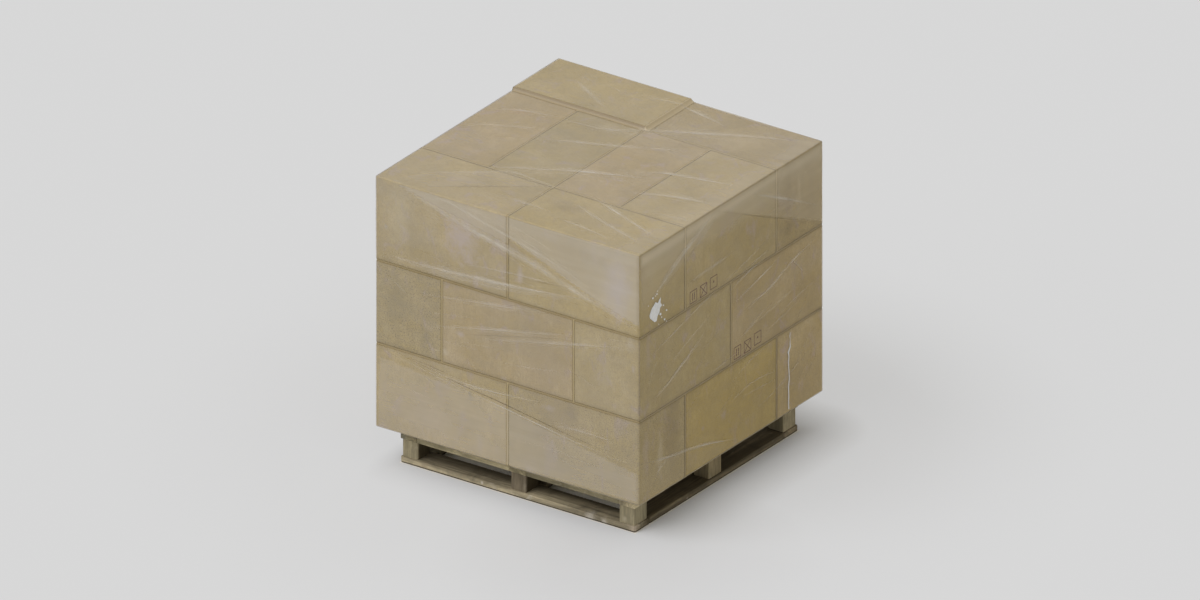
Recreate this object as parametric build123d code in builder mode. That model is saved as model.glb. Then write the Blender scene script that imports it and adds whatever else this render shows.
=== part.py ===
"""A shrink wrapped pallet load: a square block pallet, twenty-four cartons in three interlocked layers,
and the stretch film skin that holds them.

The frame is +Z up, with its origin on the floor under the middle of the pallet. Lengths are in
millimetres. The pallet can be entered by forks from all four sides. Its base is a closed ring of boards
with a middle one, so it stands on five boards. Nine blocks carry three stringers along Y. Lead boards
fill the gaps between the stringers at the front and back, and the deck boards run along X on top.

Each carton is as long as two are wide, so a layer is a square of eight, and the middle layer is turned by
a quarter turn to lock the ones above and below it. The stack hangs over the pallet on all four sides. The
film follows the stack, dips into its seams, steps up over the one carton that stands proud, and folds
under the overhanging cartons in a lip.
"""

from build123d import *

import os

# Pallet
pallet_length = 1000.0  # along X
pallet_width = 1000.0  # along Y
base_board_thickness = 24.0
base_board_width = 92.0
block_length = 65.0  # along X
block_width = 76.0  # along Y
block_height = 68.0
block_inset = 6.0  # from the outer face of the boards
stringer_width = 70.0
stringer_thickness = 28.0
lead_board_width = 88.0
deck_board_width = 100.0
deck_board_thickness = 28.0
deck_board_count = 7
board_chamfer = 2.5
base_end_chamfer = 5.0
block_chamfer = 2.0

# Cartons
carton_width = 279.0
carton_height = 324.0
carton_gap = 2.0  # between neighbours in a layer
carton_edge_chamfer = 3.0  # of its folded edges
carton_length = 2 * carton_width + carton_gap  # two widths and their gap, so that layers interlock
proud_carton_rise = 11.0  # how far the back left carton of the top layer stands above the others

# Stretch film
film_thickness = 1.0
film_clearance = 0.3  # from the film's inner face to a carton
film_valley_share = 0.75  # of a carton's chamfer, which the film follows at a seam between layers
film_dip_depth = 1.8  # of the dip over a seam between two cartons of a layer
film_lip_clearance = 14.0  # from the lip's free edge to the pallet's deck

cut_overrun = 5.0  # how far a cutting tool runs past what it cuts

# Heights of the pallet's levels
block_bottom = base_board_thickness
stringer_bottom = block_bottom + block_height
deck_bottom = stringer_bottom + stringer_thickness
deck_top = deck_bottom + deck_board_thickness

# Places of the nine blocks
block_x = pallet_length / 2 - block_inset - block_length / 2
block_y = pallet_width / 2 - block_inset - block_width / 2
columns = {"left": -block_x, "middle": 0.0, "right": block_x}
rows = {"front": -block_y, "middle": 0.0, "back": block_y}

# The stack
layer_names = ["bottom", "middle", "top"]
stack_side = 2 * carton_length + carton_gap
stack_top = deck_top + len(layer_names) * carton_height
pair_place = (carton_length + carton_gap) / 2  # centre of one of two cartons end to end
side_place = (carton_length + carton_width) / 2 + carton_gap  # centre of a row beside the middle ones
quarter_pitch = carton_width + carton_gap  # also from the stack's middle to the seams beside it
seam_reach = carton_gap / 2 + carton_edge_chamfer  # from a seam's middle to where the cartons are flat
proud_carton = (-pair_place, side_place)


def save(part, name):
    """Labels a finished piece and writes it as its own file."""
    part.label = name
    export_step(part, f"parts/{name}.step")


def straight_board(name, size_x, size_y, thickness, centre, bottom, end_chamfer=board_chamfer):
    """A sawn board with eased edges, lying flat; its upright corners take end_chamfer."""
    with BuildPart() as board:
        with BuildSketch(Plane.XY.offset(bottom)) as outline:
            with Locations(centre):
                Rectangle(size_x, size_y)
            chamfer(outline.vertices(), length=end_chamfer)
        extrude(amount=thickness)
        long_faces = board.faces().filter_by(Axis.Z)
        chamfer(long_faces.edges(), length=board_chamfer)
    save(board.part, name)


def base_boards():
    """Front and back boards of full length, and three boards between them."""
    front_y = (pallet_width - base_board_width) / 2
    for name, y in {"front": -front_y, "back": front_y}.items():
        straight_board(
            f"base_board_{name}",
            pallet_length,
            base_board_width,
            base_board_thickness,
            (0, y),
            0,
            base_end_chamfer,
        )
    side_x = (pallet_length - base_board_width) / 2
    between = pallet_width - 2 * base_board_width
    for name, x in {"left": -side_x, "middle": 0, "right": side_x}.items():
        straight_board(
            f"base_board_{name}", base_board_width, between, base_board_thickness, (x, 0), 0
        )


def blocks():
    """Nine spacer blocks, set in a little from the faces of the boards above and below."""
    for row, y in rows.items():
        for column, x in columns.items():
            with BuildPart() as block:
                with BuildSketch(Plane.XY.offset(block_bottom)) as outline:
                    with Locations((x, y)):
                        Rectangle(block_length, block_width)
                    chamfer(outline.vertices(), length=block_chamfer)
                extrude(amount=block_height)
            save(block.part, f"block_{row}_{column}")


def stringers():
    """Three boards along Y, each on three blocks, with the outer two flush with the pallet's sides."""
    side_x = (pallet_length - stringer_width) / 2
    for name, x in {"left": -side_x, "middle": 0, "right": side_x}.items():
        straight_board(
            f"stringer_{name}", stringer_width, pallet_width, stringer_thickness, (x, 0), stringer_bottom
        )


def lead_boards():
    """Boards along X that close the front and back between the stringers, under the outer deck boards."""
    between = (pallet_length - len(columns) * stringer_width) / 2
    lead_x = (stringer_width + between) / 2
    lead_y = (pallet_width - lead_board_width) / 2
    for row, y in {"front": -lead_y, "back": lead_y}.items():
        for side, x in {"left": -lead_x, "right": lead_x}.items():
            straight_board(
                f"lead_board_{row}_{side}",
                between,
                lead_board_width,
                stringer_thickness,
                (x, y),
                stringer_bottom,
            )


def deck_boards():
    """The top deck: equal boards along X with equal gaps."""
    pitch = (pallet_width - deck_board_width) / (deck_board_count - 1)
    for number in range(deck_board_count):
        y = -(pallet_width - deck_board_width) / 2 + number * pitch
        straight_board(
            f"deck_board_{number + 1}",
            pallet_length,
            deck_board_width,
            deck_board_thickness,
            (0, y),
            deck_bottom,
        )


def layer_slots(turned):
    """Centres and turns of a layer's eight cartons: two rows of two, and four across between them."""
    slots = [(x, y, 0) for y in (-side_place, side_place) for x in (-pair_place, pair_place)]
    slots += [((k - 1.5) * quarter_pitch, 0, 90) for k in range(4)]
    if turned:
        slots = [(-y, x, 90 - turn) for x, y, turn in slots]
    return slots


def cartons():
    """Twenty-four closed cartons with eased edges; one in the top layer stands proud of the rest."""
    for level, layer in enumerate(layer_names):
        bottom = deck_top + level * carton_height
        turned = layer == "middle"
        for number, (x, y, turn) in enumerate(layer_slots(turned), start=1):
            proud = layer == "top" and (x, y) == proud_carton
            height = carton_height + (proud_carton_rise if proud else 0)
            with BuildPart() as carton:
                with BuildSketch(Plane.XY.offset(bottom)):
                    with Locations(Location((x, y), turn)):
                        Rectangle(carton_length, carton_width)
                extrude(amount=height)
                chamfer(carton.edges(), length=carton_edge_chamfer)
            save(carton.part, f"carton_{layer}_{number}")


def eased_slab(side_x, side_y, centre, bottom, top, corner, low_ease, high_ease):
    """A slab with rounded upright corners whose lower and upper rims are chamfered as given."""
    with BuildPart() as slab:
        with BuildSketch(Plane.XY.offset(bottom)):
            with Locations(centre):
                RectangleRounded(side_x, side_y, corner)
        extrude(amount=top - bottom)
        faces = slab.faces().filter_by(Axis.Z).sort_by(Axis.Z)
        chamfer(faces[-1].edges(), length=high_ease)
        faces = slab.faces().filter_by(Axis.Z).sort_by(Axis.Z)
        chamfer(faces[0].edges(), length=low_ease)
    return slab.part


def seams_of(layer):
    """Where a layer's seams meet its walls: along X, and along Y."""
    beside = (-quarter_pitch, quarter_pitch)
    return (beside, (0,)) if layer == "middle" else ((0,), beside)


def dip_outline(turn=0):
    """A rhombus centred on a wall's line: its inner half is the dip."""
    corners = [(-seam_reach, 0), (0, -film_dip_depth), (seam_reach, 0), (0, film_dip_depth)]
    Polygon(*corners, rotation=turn)


def grown_stack(grow):
    """The stack's envelope, grown outwards by the given distance, with dips over all its seams."""
    side = stack_side + 2 * grow
    corner = carton_edge_chamfer + grow
    valley = film_valley_share * carton_edge_chamfer
    wall = side / 2
    roof = stack_top + grow
    last = len(layer_names) - 1
    with BuildPart() as envelope:
        for level in range(len(layer_names)):
            bottom = deck_top + level * carton_height - (grow if level == 0 else 0)
            top = deck_top + (level + 1) * carton_height + (grow if level == last else 0)
            low_ease = carton_edge_chamfer if level == 0 else valley
            high_ease = carton_edge_chamfer if level == last else valley
            add(eased_slab(side, side, (0, 0), bottom, top, corner, low_ease, high_ease))
        for level, layer in enumerate(layer_names):
            x_seams, y_seams = seams_of(layer)
            with BuildSketch(Plane.XY.offset(deck_top + level * carton_height)):
                with Locations([(x, s * wall) for x in x_seams for s in (-1, 1)]):
                    dip_outline()
                with Locations([(s * wall, y) for y in y_seams for s in (-1, 1)]):
                    dip_outline(90)
            extrude(amount=carton_height, mode=Mode.SUBTRACT)
        with BuildSketch(Plane.YZ.offset(-wall - cut_overrun)):
            with Locations((-quarter_pitch, roof), (quarter_pitch, roof)):
                dip_outline()
        extrude(amount=side + 2 * cut_overrun, mode=Mode.SUBTRACT)
        with BuildSketch(Plane.XZ.offset(-wall - cut_overrun)):
            with Locations((0, roof)):
                dip_outline()
        extrude(amount=side + 2 * cut_overrun, mode=Mode.SUBTRACT)
        with BuildSketch(Plane.XZ.offset(-quarter_pitch)):
            with Locations((-quarter_pitch, roof), (quarter_pitch, roof)):
                dip_outline()
        extrude(amount=2 * quarter_pitch, mode=Mode.SUBTRACT)
        add(
            eased_slab(
                carton_length + 2 * grow,
                carton_width + 2 * grow,
                proud_carton,
                stack_top - carton_height / 2,
                stack_top + proud_carton_rise + grow,
                corner,
                carton_edge_chamfer,
                carton_edge_chamfer,
            )
        )
    return envelope.part


def stretch_film():
    """The film: a thin skin round the whole stack, open under the pallet's deck inside its lip."""
    opening_x = pallet_length + 2 * film_lip_clearance
    opening_y = pallet_width + 2 * film_lip_clearance
    with BuildPart() as film:
        add(grown_stack(film_clearance + film_thickness))
        add(grown_stack(film_clearance), mode=Mode.SUBTRACT)
        with BuildSketch(Plane.XY.offset(deck_top - cut_overrun)):
            RectangleRounded(opening_x, opening_y, carton_edge_chamfer)
        extrude(amount=cut_overrun, mode=Mode.SUBTRACT)
    save(film.part, "stretch_film")


os.makedirs("parts", exist_ok=True)
base_boards()
blocks()
stringers()
lead_boards()
deck_boards()
cartons()
stretch_film()
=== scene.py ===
"""A shrink wrapped pallet load: weathered pallet, kraft cartons and creased stretch film, on a pale floor."""

import math
import random
from functools import reduce

import bpy
import numpy as np
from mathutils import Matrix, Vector, noise


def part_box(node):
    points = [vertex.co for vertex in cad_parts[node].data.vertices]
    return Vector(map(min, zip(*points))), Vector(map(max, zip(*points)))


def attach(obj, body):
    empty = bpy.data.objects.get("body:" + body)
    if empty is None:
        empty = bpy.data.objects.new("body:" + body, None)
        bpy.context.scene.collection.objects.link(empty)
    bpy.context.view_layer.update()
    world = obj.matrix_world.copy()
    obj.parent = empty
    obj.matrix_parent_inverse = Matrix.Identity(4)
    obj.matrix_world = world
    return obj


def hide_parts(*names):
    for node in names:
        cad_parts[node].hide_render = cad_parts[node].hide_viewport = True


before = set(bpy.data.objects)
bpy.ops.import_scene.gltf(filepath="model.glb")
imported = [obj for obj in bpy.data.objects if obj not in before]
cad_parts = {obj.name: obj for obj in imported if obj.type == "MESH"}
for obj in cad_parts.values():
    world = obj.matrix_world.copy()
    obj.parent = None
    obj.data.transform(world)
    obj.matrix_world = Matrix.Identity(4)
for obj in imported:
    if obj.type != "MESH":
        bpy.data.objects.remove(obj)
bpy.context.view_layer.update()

SCENE = bpy.context.scene
MM = 0.001  # metres in a millimetre

# The photograph's view: an orthographic camera, and where the pallet's middle on the floor shows
PHOTO_WIDE, PHOTO_HIGH = 1200, 600
PHOTO_ORIGIN_X, PHOTO_ORIGIN_Y = 599.2, 446.3
METRES_PER_PIXEL = 3.5 * MM
CAMERA_DISTANCE = 9.0


def direction(azimuth, elevation):
    """A unit vector given in degrees, its azimuth from -Y towards +X as seen from above."""
    a, e = math.radians(azimuth), math.radians(elevation)
    return Vector((math.sin(a) * math.cos(e), -math.cos(a) * math.cos(e), math.sin(e)))


BACK = direction(34.8, 25.9)
RIGHT = direction(34.8 + 90, 0)
UP = BACK.cross(RIGHT)

# The stack of cartons, read from the frame
stack_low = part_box("carton_bottom_1")[0]
stack_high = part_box("carton_top_4")[1]
HALF = stack_high[0]
BOTTOM = stack_low[2]
TOP = stack_high[2]
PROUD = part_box("carton_top_3")[1][2] - TOP
LAYER = (TOP - BOTTOM) / 3
QUARTER = HALF / 2  # from the middle to the seams beside it
OUT = 1.1 * MM  # from a carton's face to the film

FACES = ("front", "right", "back", "left", "top")


def new_object(name, data, toward=None):
    """An object in the scene for a mesh, or for a lamp or a camera that looks against toward."""
    thing = bpy.data.objects.new(name, data)
    SCENE.collection.objects.link(thing)
    if toward:
        thing.rotation_mode = "QUATERNION"
        thing.rotation_quaternion = toward.to_track_quat("Z", "Y")
    return thing


def mesh_object(name, points, faces, smooth=True, **values):
    """A mesh object made from lists or arrays, with any values at its points that its material reads."""
    mesh = bpy.data.meshes.new(name)
    mesh.from_pydata([tuple(p) for p in points], [], [tuple(f) for f in faces])
    mesh.polygons.foreach_set("use_smooth", [smooth] * len(mesh.polygons))
    for title, numbers in values.items():
        mesh.attributes.new(title, "FLOAT", "POINT").data.foreach_set("value", numbers)
    mesh.update()
    return new_object(name, mesh)


class Nodes:
    """A short way to write a material's node tree."""

    def __init__(self, name):
        self.material = bpy.data.materials.new(name)
        self.material.use_nodes = True
        self.tree = self.material.node_tree
        self.tree.nodes.clear()
        self.place = self.add("ShaderNodeTexCoord").outputs["Object"]

    def put(self, socket, value):
        if isinstance(value, bpy.types.NodeSocket):
            self.tree.links.new(value, socket)
        else:
            socket.default_value = value

    def add(self, kind, inputs=(), **settings):
        node = self.tree.nodes.new(kind)
        for key, value in settings.items():
            setattr(node, key, value)
        for key, value in dict(inputs).items():
            self.put(node.inputs[key], value)
        return node

    def math(self, operation, a, b=0.0, clamp=False):
        return self.add("ShaderNodeMath", {0: a, 1: b}, operation=operation, use_clamp=clamp).outputs[0]

    def vector(self, operation, a, b):
        return self.add("ShaderNodeVectorMath", {0: a, 1: b}, operation=operation).outputs[0]

    def length(self, vector):
        return self.add("ShaderNodeVectorMath", {0: vector}, operation="LENGTH").outputs["Value"]

    def part(self, vector, axis):
        return self.add("ShaderNodeSeparateXYZ", {0: vector}).outputs[axis]

    def facing(self, axis):
        return self.part(self.add("ShaderNodeNewGeometry").outputs["Normal"], axis)

    def attribute(self, title):
        return self.add("ShaderNodeAttribute", attribute_name=title).outputs["Fac"]

    def ramp(self, value, *stops):
        node = self.add("ShaderNodeValToRGB", {0: value})
        ramp = node.color_ramp
        while len(ramp.elements) < len(stops):
            ramp.elements.new(0.5)
        for element, (place, shade) in zip(ramp.elements, stops):
            element.position = place
            element.color = shade if hasattr(shade, "__len__") else (shade, shade, shade, 1)
        return node.outputs[0]

    def noise(self, vector, scale, detail=3.0, rough=0.5, distortion=0.0):
        names = ("Vector", "Scale", "Detail", "Roughness", "Distortion")
        inputs = zip(names, (vector, scale, detail, rough, distortion))
        return self.add("ShaderNodeTexNoise", inputs).outputs[0]

    def stretch(self, vector, scale, place=(0, 0, 0), turn=(0, 0, 0)):
        inputs = {"Vector": vector, "Scale": scale, "Location": place, "Rotation": turn}
        return self.add("ShaderNodeMapping", inputs).outputs[0]

    def mix(self, factor, a, b):
        node = self.add("ShaderNodeMix", data_type="RGBA", blend_type="MIX")
        for number, value in ((0, factor), (6, a), (7, b)):
            self.put(node.inputs[number], value)
        return node.outputs[2]

    def spots(self, colour, spots, grain, raggedness, end):
        """Lays ragged spots over a colour, each with its centre, radii, shade and strength."""
        for centre, radii, shade, strength in spots:
            far = self.length(self.vector("DIVIDE", self.vector("SUBTRACT", self.place, centre), radii))
            ragged = self.math("MULTIPLY", self.noise(self.place, *grain), raggedness)
            far = self.math("ADD", self.math("MULTIPLY", far, 0.5), ragged)
            colour = self.mix(self.ramp(far, (0.5, strength), (end, 0)), colour, shade)
        return colour

    def finish(self, shader):
        output = self.add("ShaderNodeOutputMaterial")
        self.tree.links.new(shader.outputs[0], output.inputs[0])
        return self.material

    def surface(self, colour, roughness, bump=(), specular=0.5, alpha=1.0):
        """Ends the tree in a Principled shader; bump is its height, strength and distance."""
        inputs = {"Base Color": colour, "Roughness": roughness, "Alpha": alpha}
        inputs["Specular IOR Level"] = specular
        if bump:
            heights = zip(("Height", "Strength", "Distance"), bump)
            inputs["Normal"] = self.add("ShaderNodeBump", heights).outputs[0]
        return self.finish(self.add("ShaderNodeBsdfPrincipled", inputs))


def rgb(red, green, blue):
    """A colour given as the eye sees it on screen, 0 to 255, as a shader's linear colour."""
    return tuple(((c / 255 + 0.055) / 1.055) ** 2.4 for c in (red, green, blue)) + (1,)


def toned(tint, *shares, more=0):
    """A tint times one share, or its parts times three, as a shader's linear colour."""
    return rgb(*[min(255, c * share + more) for c, share in zip(tint, 3 * shares)])


def set_material(thing, material):
    thing.data.materials.clear()
    thing.data.materials.append(material)


# Cardboard

OUTSIDE = 12 * MM  # how near the stack's outside a carton's face counts as being on it
WEAR_AND_SHADE_REACH = 20 * MM  # from a carton's edge


def edge_wear_and_shade(n, low, high):
    """How worn a carton's board is, with painted shade: most beside its neighbours, more beside other layers,
    and some along the stack's outer edges.
    """
    place = n.add("ShaderNodeTexCoord").outputs["Generated"]
    upright, level, outward = [], [], []
    for axis, shell in enumerate(((-HALF, HALF), (-HALF, HALF), (BOTTOM, TOP))):
        part = n.part(place, axis)
        for share, end, outer in zip((part, n.math("SUBTRACT", 1.0, part)), (low[axis], high[axis]), shell):
            kind = outward if abs(end - outer) < OUTSIDE else level if axis == 2 else upright
            kind.append(n.math("MULTIPLY", share, (high[axis] - low[axis]) / WEAR_AND_SHADE_REACH))

    def joined(operation, shares):
        return reduce(lambda a, b: n.math(operation, a, b), shares)

    worn_and_shaded = n.ramp(joined("MINIMUM", upright), (0.0, 0.5), (0.14, 0.3), (0.26, 0.08), (0.6, 0))
    if level:
        shade = n.ramp(joined("MINIMUM", level), (0.0, 0.95), (0.17, 0.72), (0.3, 0.3), (1.0, 0))
        worn_and_shaded = n.math("MAXIMUM", worn_and_shaded, shade)
    if len(outward) > 1:
        worn_and_shaded = n.math("MAXIMUM", worn_and_shaded, n.ramp(joined("ADD", outward), (0.0, 0.45), (0.14, 0.35), (0.26, 0)))
    return worn_and_shaded


def cardboard(name, tint, seed, speckle, low, high, smudges):
    """Kraft board: fine upright fibres, soft blotches and stains, specks, and dark worn edges with painted
    shade beside other cartons.
    """
    n = Nodes(name)
    moved = n.stretch(n.place, (1, 1, 1), (seed * 3.1, seed * 1.7, seed * 2.3))
    blotch = n.noise(moved, 5.5, 4, 0.6)
    cloud = n.noise(moved, 13.0, 6, 0.7, 0.5)
    marble = n.noise(n.stretch(moved, (44, 44, 26)), 1.0, 6, 0.72, 1.1)
    stain = n.noise(n.stretch(moved, (15, 15, 9)), 1.0, 5, 0.65, 0.7)
    fibre = n.noise(n.stretch(moved, (260, 260, 22)), 1.0, 3, 0.7)
    grain = n.noise(moved, 210.0, 5, 0.75)
    dark = toned(tint, 0.91, 0.9, 0.84)
    pale = toned(tint, 1.05, more=3)
    ochre = toned(tint, 0.99, 0.97, 0.82)
    lilac = toned(tint, 0.97, 0.97, 1.25)
    colour = n.mix(n.ramp(blotch, (0.36, 0), (0.66, 1)), dark, pale)
    layers = (
        (cloud, (0.42, 0), (0.66, 0.9), ochre),
        (stain, (0.56, 0), (0.66, 0.8), lilac),
        (marble, (0.36, 0.6), (0.5, 0), dark),
        (marble, (0.54, 0), (0.68, 0.5), pale),
        (fibre, (0.35, 0.42), (0.6, 0), dark),
        (grain, (0.36, speckle), (0.48, 0), toned(tint, 0.62)),
        (grain, (0.6, 0), (0.7, 0.35 * speckle), toned(tint, 1.25)),
    )
    for pattern, first, last, shade in layers:
        colour = n.mix(n.ramp(pattern, first, last), colour, shade)
    colour = n.spots(colour, smudges, (26, 6, 0.7, 0.6), 0.9, 0.85)
    # wear and painted shade, darkest where cartons meet
    worn_and_shaded = n.math("MULTIPLY", edge_wear_and_shade(n, low, high), n.ramp(cloud, (0.3, 0.6), (0.7, 1)))
    colour = n.mix(worn_and_shaded, colour, rgb(104, 88, 58))
    return n.surface(colour, 0.82, (fibre, 0.3, 0.0006), 0.25)


KRAFT = (184, 165, 119)
YELLOW = (184, 164, 109)
PINK = (184, 163, 121)
GREEN = (178, 160, 115)
GREY = (182, 165, 125)
TINTS = {
    "top_1": KRAFT, "top_2": YELLOW, "top_3": YELLOW, "top_4": (177, 157, 113),
    "top_5": PINK, "top_6": GREEN, "top_7": PINK, "top_8": KRAFT,
    "middle_1": (181, 163, 118), "middle_2": PINK, "middle_3": GREEN, "middle_4": PINK,
    "middle_5": (181, 161, 120), "bottom_1": KRAFT, "bottom_2": GREEN,
    "bottom_8": (187, 165, 101), "bottom_4": (192, 171, 128),
}
# Patches of another tone: face, place in the photograph's pixels, half width and half height in metres,
# strength, colour
SMUDGES = {
    "top_1": [
        ("front", 400, 215, 0.09, 0.2, 0.3, 206, 196, 168),
        ("front", 412, 235, 0.03, 0.16, 0.3, 150, 134, 92),
        ("front", 462, 236, 0.11, 0.14, 0.8, 189, 174, 169),
        ("front", 386, 226, 0.014, 0.02, 0.6, 164, 160, 160),
        ("front", 470, 262, 0.05, 0.03, 0.45, 184, 168, 158),
    ],
    "top_2": [
        ("top", 568, 206, 0.12, 0.07, 0.5, 138, 119, 72),
        ("top", 610, 226, 0.16, 0.1, 0.4, 168, 148, 98),
        ("front", 545, 285, 0.09, 0.07, 0.5, 180, 160, 100),
        ("front", 520, 275, 0.02, 0.05, 0.6, 190, 176, 172),
        ("front", 618, 288, 0.09, 0.17, 0.85, 186, 173, 175),
        ("right", 655, 275, 0.09, 0.1, 0.5, 196, 178, 118),
    ],
    "top_3": [("top", 590, 90, 0.16, 0.09, 0.5, 184, 163, 98)],
    "top_4": [
        ("right", 788, 190, 0.025, 0.2, 0.6, 138, 117, 80),
        ("right", 799, 190, 0.018, 0.2, 0.65, 198, 182, 148),
        ("right", 811, 185, 0.025, 0.2, 0.55, 146, 125, 88),
        ("right", 788, 228, 0.07, 0.05, 0.65, 130, 114, 76),
        ("top", 740, 140, 0.16, 0.12, 0.9, 184, 165, 122),
    ],
    "top_5": [
        ("top", 520, 112, 0.07, 0.03, 0.5, 182, 150, 110),
        ("top", 470, 150, 0.1, 0.03, 0.4, 196, 172, 128),
    ],
    "top_6": [
        ("top", 562, 132, 0.09, 0.05, 0.55, 154, 140, 98),
        ("top", 520, 154, 0.05, 0.04, 0.45, 158, 144, 104),
        ("top", 606, 128, 0.06, 0.05, 0.5, 192, 176, 140),
        ("top", 545, 172, 0.06, 0.04, 0.45, 190, 172, 136),
    ],
    "top_7": [
        ("top", 640, 172, 0.05, 0.04, 0.4, 190, 172, 140),
        ("top", 600, 186, 0.08, 0.04, 0.4, 176, 154, 112),
    ],
    "middle_3": [
        ("front", 398, 300, 0.12, 0.16, 0.6, 142, 128, 88),
        ("front", 425, 340, 0.04, 0.12, 0.5, 140, 126, 84),
        ("front", 386, 330, 0.03, 0.06, 0.5, 184, 168, 124),
    ],
    "middle_5": [
        ("front", 545, 374, 0.18, 0.16, 0.55, 166, 146, 108),
        ("front", 460, 334, 0.03, 0.016, 0.6, 186, 172, 166),
        ("front", 500, 300, 0.1, 0.07, 0.4, 186, 162, 124),
        ("front", 445, 352, 0.02, 0.02, 0.5, 206, 194, 172),
        ("front", 504, 380, 0.02, 0.02, 0.5, 184, 170, 166),
    ],
    "middle_1": [
        ("front", 592, 396, 0.12, 0.16, 0.5, 164, 146, 104),
        ("front", 605, 375, 0.06, 0.1, 0.4, 180, 166, 130),
        ("front", 633, 370, 0.012, 0.03, 0.5, 180, 168, 166),
        ("front", 630, 345, 0.03, 0.04, 0.4, 196, 184, 166),
        ("right", 648, 350, 0.02, 0.14, 0.4, 176, 160, 152),
    ],
    "bottom_1": [
        ("front", 470, 397, 0.012, 0.03, 0.6, 120, 118, 116),
        ("front", 427, 388, 0.014, 0.04, 0.5, 190, 160, 118),
        ("front", 430, 420, 0.16, 0.14, 0.5, 196, 178, 150),
        ("front", 480, 445, 0.02, 0.06, 0.4, 186, 174, 170),
        ("front", 402, 380, 0.014, 0.014, 0.5, 160, 156, 150),
    ],
    "bottom_2": [
        ("front", 560, 416, 0.2, 0.14, 0.6, 160, 142, 104),
        ("front", 542, 434, 0.07, 0.05, 0.55, 150, 130, 92),
        ("front", 572, 412, 0.05, 0.06, 0.55, 140, 126, 94),
        ("front", 600, 440, 0.06, 0.03, 0.45, 160, 138, 84),
        ("front", 548, 408, 0.04, 0.02, 0.5, 176, 162, 154),
        ("front", 530, 470, 0.04, 0.03, 0.4, 190, 178, 168),
        ("right", 646, 450, 0.03, 0.14, 0.5, 184, 168, 158),
        ("right", 672, 430, 0.08, 0.26, 0.6, 140, 122, 84),
        ("right", 660, 452, 0.03, 0.12, 0.5, 196, 182, 158),
    ],
    "bottom_8": [
        ("right", 716, 415, 0.16, 0.12, 0.45, 186, 164, 98),
        ("right", 724, 414, 0.03, 0.03, 0.6, 176, 160, 154),
        ("right", 703, 428, 0.014, 0.014, 0.5, 176, 160, 154),
        ("right", 760, 365, 0.1, 0.06, 0.4, 190, 166, 98),
    ],
}
SMUDGE_DEPTH = 0.2  # how far a smudge reaches across its face
SPECKLED = {"middle_3": 1.0, "bottom_2": 0.85, "top_4": 1.0, "top_1": 0.5}
PLAIN_SPECKLE = 0.42


def dress_cartons():
    others = (KRAFT, GREY, YELLOW, PINK)
    for level, layer in enumerate(("bottom", "middle", "top")):
        for number in range(1, 9):
            key = f"{layer}_{number}"
            smudges = []
            for face, x, y, wide, tall, strength, *shade in SMUDGES.get(key, []):
                spot = film_point(face, *from_photo(face, x, y), 0)
                radii = [wide, tall]
                radii.insert({"right": 0, "front": 1, "top": 2}[face], SMUDGE_DEPTH)
                smudges.append((spot.tolist(), radii, rgb(*shade), strength))
            material = cardboard(
                f"cardboard_{key}",
                TINTS.get(key, others[number % len(others)]),
                number + 10 * level,
                SPECKLED.get(key, PLAIN_SPECKLE),
                *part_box(f"carton_{key}"),
                smudges,
            )
            set_material(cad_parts[f"carton_{key}"], material)


# Wood

# A dark tone for dirt, and for painted shade on the timber
GRIME_AND_SHADE = rgb(66, 56, 36)


def timber(name, along, tint, seed, soiled_and_shaded, spots, bold, inner):
    """Weathered softwood with its grain along one axis, dirt and painted shade on top, scuffs and single
    spots, and painted contact shade along its foot.

    Bold scales its contrast, and inner is where along Y its painted shade starts and over what length.
    """
    n = Nodes(name)
    moved = n.stretch(n.place, (1, 1, 1), (seed * 0.71, seed * 1.37, seed * 0.93))
    long_way = [1.6 if axis == along else 26 for axis in "xyz"]
    rings = n.noise(n.stretch(moved, long_way), 1.0, 5, 0.6, 0.6)
    fine = n.noise(n.stretch(moved, [9 * v for v in long_way]), 1.0, 3, 0.7)
    dirt = n.noise(moved, 9.0, 5, 0.65, 0.5)
    scuff = n.noise(moved, 17.0, 3, 0.5, 1.2)
    dark = toned(tint, 1 - 0.3 * bold)
    pale = toned(tint, 1 + 0.12 * bold)
    dirty = toned(tint, 0.5)
    colour = n.mix(n.ramp(rings, (0.34, 0), (0.66, 1)), dark, pale)
    colour = n.mix(n.ramp(fine, (0.4, 0.4), (0.62, 0)), colour, dirty)
    colour = n.mix(n.ramp(dirt, (0.3, 0.75 * bold), (0.52, 0)), colour, dirty)
    colour = n.mix(n.ramp(scuff, (0.62, 0), (0.74, 0.4 * bold)), colour, rgb(206, 198, 180))
    # dirt and painted shade on the upward faces, following the grain
    soil_and_shade = n.ramp(rings, (0.4, 0.85 * soiled_and_shaded), (0.68, 0.35 * soiled_and_shaded))
    soil_and_shade = n.math("MULTIPLY", n.ramp(n.facing(2), (0.5, 0), (0.9, 1)), soil_and_shade)
    colour = n.mix(soil_and_shade, colour, GRIME_AND_SHADE)
    # painted shade, deepening inside the pallet
    if inner:
        start, length = inner
        past = n.math("DIVIDE", n.math("SUBTRACT", n.part(n.place, 1), start), length)
        colour = n.mix(n.ramp(past, (0, 0), (1, 0.85)), colour, GRIME_AND_SHADE)
    colour = n.spots(colour, spots, (60, 4, 0.7), 0.8, 0.9)
    # painted contact shade along the floor, at the foot of the base boards
    contact_shade = n.ramp(n.math("DIVIDE", n.part(n.place, 2), 12 * MM), (0.3, 0.95), (0.6, 0))
    colour = n.mix(contact_shade, colour, rgb(44, 38, 28))
    return n.surface(colour, 0.88, (n.math("ADD", rings, n.math("MULTIPLY", fine, 0.5)), 0.6, 0.0015), 0.2)


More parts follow.
